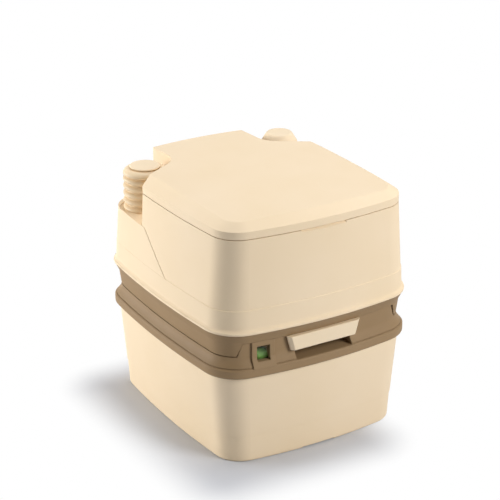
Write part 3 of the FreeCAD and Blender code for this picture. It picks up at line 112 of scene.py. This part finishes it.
def dress(material, *names):
    """Gives the material to the CAD nodes of these names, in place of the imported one."""
    for name in names:
        slots = nodes[name].data.materials
        slots.clear()
        slots.append(material)


# Blow moulded polyethylene looks waxy and matt: one warm cream with barely a highlight.
cream_polyethylene = moulded("cream_polyethylene", colour="#f4dfc0", deeper="#f1dbb9",
                             roughness=0.68, grain_mm=2.4, edge_mm=0.7)
dress(cream_polyethylene, "waste_tank_tub")

# Waste tank top: the brown upper shell with rim, waist, front panel and rear pockets,
# injection moulded in polypropylene and welded over the brim of the tub.
# Polypropylene looks satin, and its generous edges catch a soft line of light.
brown_polypropylene = moulded("brown_polypropylene", colour="#9c8261", deeper="#977d5c",
                              roughness=0.58, grain_mm=2.0, edge_mm=2.4)
dress(brown_polypropylene, "waste_tank_top")

# Slide valve: a blade in a guide tray under the deck, wiped by a rubber lip seal.
# Four steel screws hold the tray, and blade and tray are moulded in acetal.
# The cream pull bar on the front is polypropylene, clipped to the blade's stem.

# Acetal looks dense and dark, with the dull sheen of a part that slides.
grey_acetal = moulded("grey_acetal", colour="#3a3a3c", deeper="#333335",
                      roughness=0.4, grain_mm=1.6, edge_mm=0.5)
dress(grey_acetal, "valve_guide", "valve_blade")

# Injection moulded small parts look like the tanks, a shade paler and a little less matt.
cream_polypropylene = moulded("cream_polypropylene", colour="#f4e0c1", deeper="#f1dcbb",
                              roughness=0.58, grain_mm=2.0, edge_mm=0.8)
dress(cream_polypropylene, "valve_handle")

# Vulcanised rubber looks almost black, with a paler bloom and a porous skin without gloss.
# The pores are drawn coarser than the real ones so that they show.
bloom_mm = 9
pore_mm = 1.2
pore_depth_mm = 0.2
seal_rubber, tree, shader, place = finish_of("seal_rubber")
bloom = add(tree, "ShaderNodeTexNoise", Vector=place, Scale=1000 / bloom_mm, Detail=5.0)
grey = add(tree, "ShaderNodeValToRGB", Fac=bloom.outputs["Fac"])
grey.color_ramp.elements[0].color = linear("#1c1c1d")
grey.color_ramp.elements[1].color = linear("#2c2c2d")
tree.links.new(grey.outputs["Color"], shader.inputs["Base Color"])
pores = add(tree, "ShaderNodeTexNoise", Vector=place, Scale=1000 / pore_mm, Detail=2.0)
skin = add(tree, "ShaderNodeBump", Strength=0.2, Distance=pore_depth_mm / 1000,
           Height=pores.outputs["Fac"])
tree.links.new(skin.outputs["Normal"], shader.inputs["Normal"])
shader.inputs["Roughness"].default_value = 0.72
shader.inputs["IOR"].default_value = 1.52
dress(seal_rubber, "valve_seal")

# Drawn stainless steel looks bright, with fine lines that blur what it mirrors.
# The lines are drawn coarser than the real ones so that they show.
line_mm = 0.4
line_length_mm = 8
bright_steel, tree, shader, place = finish_of("bright_steel")
stretched = add(tree, "ShaderNodeMapping", Vector=place,
                Scale=(1000 / line_mm, 1000 / line_mm, 1000 / line_length_mm))
lines = add(tree, "ShaderNodeTexNoise", Vector=stretched.outputs["Vector"], Scale=1.0, Detail=3.0)
drawn = add(tree, "ShaderNodeMapRange", Value=lines.outputs["Fac"], To_Min=0.24, To_Max=0.4)
tree.links.new(drawn.outputs["Result"], shader.inputs["Roughness"])
shader.inputs["Base Color"].default_value = linear("#b9babd")
shader.inputs["Metallic"].default_value = 1.0
dress(bright_steel, "valve_screws")

# Level indicator: a clear acrylic pane in a square window, and behind it a green drum
# moulded in polystyrene, which turns on a steel pin.
# A polypropylene float on an acetal arm inside the tank turns it.

# Acrylic looks clear with faint smears, and lets the light through to the drum.
smear_mm = 6
clear_acrylic, tree, shader, place = finish_of("clear_acrylic")
smears = add(tree, "ShaderNodeTexNoise", Vector=place, Scale=1000 / smear_mm, Detail=3.0)
haze = add(tree, "ShaderNodeMapRange", Value=smears.outputs["Fac"], To_Min=0.02, To_Max=0.06)
tree.links.new(haze.outputs["Result"], shader.inputs["Roughness"])
shader.inputs["Base Color"].default_value = linear("#f4f8f4")
shader.inputs["Transmission Weight"].default_value = 1.0
shader.inputs["IOR"].default_value = 1.49
shader.inputs["Specular IOR Level"].default_value = 0.2
shader.inputs["Alpha"].default_value = 0.2
dress(clear_acrylic, "indicator_pane")

# Polystyrene looks hard and glossy, in one even green.
green_polystyrene = moulded("green_polystyrene", colour="#6d9a44", deeper="#648f3c",
                            roughness=0.28, grain_mm=1.4, edge_mm=0.4)
dress(green_polystyrene, "indicator_drum")
dress(bright_steel, "indicator_axle")

# Polypropylene without a dye looks milky white and satin.
white_polypropylene = moulded("white_polypropylene", colour="#e2e0d8", deeper="#d8d6cd",
                              roughness=0.45, grain_mm=2.0, edge_mm=0.8)
dress(white_polypropylene, "float")
dress(grey_acetal, "float_arm")

# Pour-out spout: a brown polypropylene elbow in the rear pocket, which swivels in a collar.
# A cream screw cap with a rubber seal closes its mouth.
dress(brown_polypropylene, "spout_elbow", "spout_collar")
dress(cream_polypropylene, "spout_cap")
dress(seal_rubber, "spout_cap_seal")

# Air vent: a cream polypropylene push button in a bored boss of the rear wall.
# It presses on a rubber diaphragm behind it, which lets air in while the tank is poured out.
dress(cream_polypropylene, "vent_button")
dress(seal_rubber, "vent_diaphragm")

# Rear latch: a cream polypropylene lever with a hook, which grips the catch of the flush section.
# It turns on a steel pin in the rear wall, and is shown released.
dress(cream_polypropylene, "latch_lever")
dress(bright_steel, "latch_pin")

# Flush base: the brown skirt under the flange and the tray that closes the water tank,
# injection moulded like the waste tank top and welded to the cream shell above it.
dress(brown_polypropylene, "flush_base")

# Flush tank shell: the cream upper housing with the pump tower and the filler tower,
# blow moulded in polyethylene like the tub, and closed below by the flush base.
dress(cream_polyethylene, "flush_tank_shell")

# Bowl: the smooth inner bowl, hung under the deck, and the outlet pipe that leads to the valve.
# Both are injection moulded in polypropylene.
# They come from a polished mould, so they look glossy and are easy to wipe.
glossy_polypropylene = moulded("glossy_polypropylene", colour="#f4e1c3", deeper="#f2debd",
                               roughness=0.22, grain_mm=3.0, edge_mm=1.0)
dress(glossy_polypropylene, "bowl", "outlet_pipe")

# Bellows pump: a soft ribbed bellows under a round push plate, held by a collar in its cup.
# It is blow moulded in low density polyethylene, so its ribs are round and its gloss is soft.


def turned_mesh(name, profile, centre, steps=96):
    """A closed mesh turned round a vertical axis from (radius, height) points in millimetres."""
    mesh = bpy.data.meshes.new(name)
    build = bmesh.new()
    rings = []
    for radius, height in profile:
        ring = []
        for step in range(steps):
            angle = 2 * math.pi * step / steps
            spot = (centre[0] + radius * math.cos(angle),
                    centre[1] + radius * math.sin(angle), height)
            ring.append(build.verts.new(Vector(spot) / 1000))
        rings.append(ring)
    for low, high in zip(rings, rings[1:]):
        for step in range(steps):
            after = (step + 1) % steps
            build.faces.new((low[step], low[after], high[after], high[step]))
    build.faces.new(list(reversed(rings[0])))
    build.faces.new(rings[-1])
    bmesh.ops.recalc_face_normals(build, faces=build.faces)
    for face in build.faces:
        face.smooth = len(face.verts) == 4
    build.to_mesh(mesh)
    build.free()
    piece = bpy.data.objects.new(name, mesh)
    bpy.context.collection.objects.link(piece)
    return piece


# The bellows from its foot upwards: five round ribs, then a shoulder and a crown that close it
# in to the mouth round the button's stem.
pump_at = (-131, 139)
foot_z = 322.0
foot_radius = 37.0
foot_height = 2.5
valley_radius = 30.2
rib_depth = 6.8
rib_roundness = 0.8
rib_pitch = 12.4
rib_count = 5
rib_steps = 12
shoulder_depth = 6.6
shoulder_height = 3.4
shoulder_steps = 6
crown_radius = 26.0
crown_depth = 10.8
crown_steps = 10
mouth_radius = 13.0
bellows_top_z = 398.1
rib_profile = [(foot_radius, foot_z), (foot_radius, foot_z + foot_height)]
for step in range(1, rib_count * rib_steps + 1):
    ribs, across = divmod(step / rib_steps, 1)
    bulge = (1 - (2 * across - 1) ** 2) ** rib_roundness
    rib_profile.append((valley_radius + rib_depth * bulge,
                        foot_z + foot_height + rib_pitch * (ribs + across)))
shoulder_z = rib_profile[-1][1]
for step in range(1, shoulder_steps + 1):
    angle = math.pi / 2 * step / shoulder_steps
    rib_profile.append((valley_radius + shoulder_depth * math.sin(angle),
                        shoulder_z + shoulder_height * (1 - math.cos(angle))))
crown_height = bellows_top_z - shoulder_z - shoulder_height
for step in range(1, crown_steps + 1):
    angle = math.pi / 2 * step / crown_steps
    rib_profile.append((crown_radius + crown_depth * math.cos(angle),
                        shoulder_z + shoulder_height + crown_height * math.sin(angle)))
rib_profile.append((mouth_radius, bellows_top_z))
bellows = turned_mesh("bellows_ribs", rib_profile, pump_at)

# Low density polyethylene looks a shade deeper than the tanks, with a soft sheen on each rib.
soft_polyethylene = moulded("soft_polyethylene", colour="#efd8b5", deeper="#ebd3ae",
                            roughness=0.42, grain_mm=2.6, edge_mm=0.6)
bellows.data.materials.append(soft_polyethylene)
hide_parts("pump_bellows")
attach(bellows, "flush_section")
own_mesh(bellows)

# The push plate: a stem in the mouth of the bellows, a stepped underside with a rolled edge,
# and a flat dome that the hand presses.
stem_radius = 11.9
stem_z = (387.1, 398.2)
step_radius = 21.8
step_z = (398.25, 399.5)
rolled_edge = [(24.6, 399.6), (25.4, 400.0)]
plate_radius = 25.7
plate_z = 400.8
dome_height = 3.4
dome_flatness = 0.6
dome_steps = 15
plate_profile = [(stem_radius, z) for z in stem_z] + [(step_radius, z) for z in step_z]
plate_profile += rolled_edge + [(plate_radius, plate_z)]
for step in range(1, dome_steps):
    angle = math.pi / 2 * step / dome_steps
    plate_profile.append((plate_radius * math.cos(angle) ** dome_flatness,
                          plate_z + dome_height * math.sin(angle)))
push_plate = turned_mesh("push_plate", plate_profile, pump_at)
push_plate.data.materials.append(cream_polypropylene)
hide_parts("pump_button")
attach(push_plate, "pump_button")
dress(cream_polypropylene, "pump_collar")
dress(grey_acetal, "pump_body")
dress(seal_rubber, "pump_flap")

# Water way: a dip tube under the pump, and a tube from the pump to the nozzle in the bowl.
# The tubes are extruded in soft vinyl, and the nozzle is moulded in the same.
# Soft vinyl looks pale and smooth, with a slightly wet gloss.
pale_vinyl = moulded("pale_vinyl", colour="#d8d6cc", deeper="#cfccc1",
                     roughness=0.3, grain_mm=2.0, edge_mm=0.4)
dress(pale_vinyl, "intake_tube", "flush_tube", "flush_nozzle")

# Fresh water filler: a fluted cream cap over the neck of the filler tower.
# It is injection moulded in polypropylene, and a flat rubber seal lies under it.
dress(cream_polypropylene, "fill_cap")
dress(seal_rubber, "fill_cap_seal")

# Seat: a smooth cream ring on two hinge lugs, injection moulded like the bowl in polypropylene.
# It rests on four rubber bumpers, bonded to its underside.
dress(glossy_polypropylene, "seat")
dress(seal_rubber, "seat_bumpers")

# Lid: a cream polyethylene cover with a bevelled edge, notched round both towers.
# It turns on the same two steel pins as the seat.
dress(cream_polyethylene, "lid")
dress(bright_steel, "hinge_pins")

# Stage: a seamless floor of matt background paper. Near the object it is lit paper that keeps
# the shadow; a hand's width further out the eye sees it as plain white, like the end of a sweep.


def seen_directly(tree):
    """1 for what the eye sees, straight on or in gloss and glass, and 0 for light on its way."""
    rays = add(tree, "ShaderNodeLightPath").outputs
    seen = add(tree, "ShaderNodeMath", {"operation": "MAXIMUM"}, in0=rays["Is Camera Ray"],
               in1=rays["Is Glossy Ray"])
    seen = add(tree, "ShaderNodeMath", {"operation": "MAXIMUM"}, in0=seen.outputs["Value"],
               in1=rays["Is Transmission Ray"])
    return seen.outputs["Value"]


floor_reach = 9
floor_mesh = bpy.data.meshes.new("studio_floor")
floor_mesh.from_pydata([(-floor_reach, -floor_reach, 0), (floor_reach, -floor_reach, 0),
                        (floor_reach, floor_reach, 0), (-floor_reach, floor_reach, 0)],
                       [], [(0, 1, 2, 3)])
floor = bpy.data.objects.new("studio_floor", floor_mesh)
bpy.context.collection.objects.link(floor)

# Paper looks matt and slightly cool, with faint clouds in the sheet.
fibre_mm = 300
floor_paper, tree, shader, place = finish_of("floor_paper")
fibre = add(tree, "ShaderNodeTexNoise", Vector=place, Scale=1000 / fibre_mm, Detail=2.0)
paper = add(tree, "ShaderNodeValToRGB", Fac=fibre.outputs["Fac"])
paper.color_ramp.elements[0].color = linear("#ced2da")
paper.color_ramp.elements[1].color = linear("#d3d6dd")
tree.links.new(paper.outputs["Color"], shader.inputs["Base Color"])
shader.inputs["Roughness"].default_value = 0.9
shader.inputs["Specular IOR Level"].default_value = 0.1

# The lit part is a rounded rectangle under the object and its shadow, in metres: lit_offset brings
# its middle to zero, lit_half is half of its flat inside, and fade_width is the soft edge round it.
lit_offset = (0.065, 0.03, 0.0)
lit_half = (0.125, 0.185, 0.0)
fade_width = 0.105
shaded = add(tree, "ShaderNodeVectorMath", {"operation": "ADD"}, in0=place, in1=lit_offset)
folded = add(tree, "ShaderNodeVectorMath", {"operation": "ABSOLUTE"}, in0=shaded.outputs["Vector"])
beyond = add(tree, "ShaderNodeVectorMath", {"operation": "SUBTRACT"}, in0=folded.outputs["Vector"],
             in1=lit_half)
beyond = add(tree, "ShaderNodeVectorMath", {"operation": "MAXIMUM"}, in0=beyond.outputs["Vector"])
reach = add(tree, "ShaderNodeVectorMath", {"operation": "LENGTH"}, in0=beyond.outputs["Vector"])
fade = add(tree, "ShaderNodeMapRange", {"interpolation_type": "SMOOTHSTEP"},
           Value=reach.outputs["Value"], From_Min=0.0, From_Max=fade_width)
share = add(tree, "ShaderNodeMath", {"operation": "MULTIPLY"}, in0=fade.outputs["Result"],
            in1=seen_directly(tree))
white = add(tree, "ShaderNodeEmission", Color=linear("#ffffff"), Strength=1.0)
both = add(tree, "ShaderNodeMixShader", Fac=share.outputs["Value"], in1=shader.outputs["BSDF"],
           in2=white.outputs["Emission"])
tree.links.new(both.outputs["Shader"], tree.nodes["Material Output"].inputs["Surface"])
floor_mesh.materials.append(floor_paper)

# Light: a dim even surround that the eye sees as white, a wide soft box overhead, and soft boxes
# at the left rear and the right front, so that the corner towards the camera stays the darkest.
world = bpy.data.worlds.new("studio_surround")
world.use_nodes = True
bpy.context.scene.world = world
tree = world.node_tree
dim = tree.nodes["Background"]
dim.inputs["Color"].default_value = linear("#fff1de")
dim.inputs["Strength"].default_value = 0.05
backdrop = add(tree, "ShaderNodeBackground", Color=linear("#ffffff"), Strength=1.0)
both = add(tree, "ShaderNodeMixShader", Fac=seen_directly(tree), in1=dim.outputs["Background"],
           in2=backdrop.outputs["Background"])
tree.links.new(both.outputs["Shader"], tree.nodes["World Output"].inputs["Surface"])


def soft_box(name, spot, aim, width, height, watts, tone):
    """A rectangular lamp at a spot, turned towards the point that it is aimed at."""
    lamp = bpy.data.lights.new(name, "AREA")
    lamp.shape = "RECTANGLE"
    lamp.size = width
    lamp.size_y = height
    lamp.energy = watts
    lamp.color = linear(tone)[:3]
    box = bpy.data.objects.new(name, lamp)
    box.location = spot
    box.rotation_euler = (Vector(aim) - Vector(spot)).to_track_quat("-Z", "Y").to_euler()
    bpy.context.collection.objects.link(box)


soft_box("overhead_box", spot=(0.4, 0.3, 2.8), aim=(0, 0, 0.2),
         width=2.0, height=2.0, watts=49, tone="#f6f9ff")
soft_box("left_box", spot=(-2.35, 2.0, 0.75), aim=(0, 0, 0.25),
         width=2.0, height=1.2, watts=97, tone="#fdfcfa")
soft_box("right_box", spot=(1.45, -2.65, 1.7), aim=(0, 0, 0.25),
         width=1.4, height=1.4, watts=76, tone="#fdfcfa")

# Camera: the photograph's standpoint, to the left of the front and a little above.
# It looks at a point a little above the object's middle, and stands back from it, in metres.
turn = math.radians(31.19)
tilt = math.radians(22.85)
distance = 2.84714
middle = Vector((0, 0, 0.2))
aim_right = -0.0103
aim_up = 0.06521
right = Vector((math.cos(turn), -math.sin(turn), 0))
back = Vector((-math.sin(turn) * math.cos(tilt), -math.cos(turn) * math.cos(tilt), math.sin(tilt)))
up = back.cross(right)
target = middle + right * aim_right + up * aim_up
camera_data = bpy.data.cameras.new("camera")
camera_data.sensor_width = 36
camera_data.lens = 122.65
camera = bpy.data.objects.new("camera", camera_data)
facing = Matrix((right, up, back)).transposed().to_4x4()
camera.matrix_world = Matrix.Translation(target + back * distance) @ facing
bpy.context.collection.objects.link(camera)
bpy.context.scene.camera = camera
bpy.context.scene.view_settings.view_transform = "Standard"

bpy.context.view_layer.update()
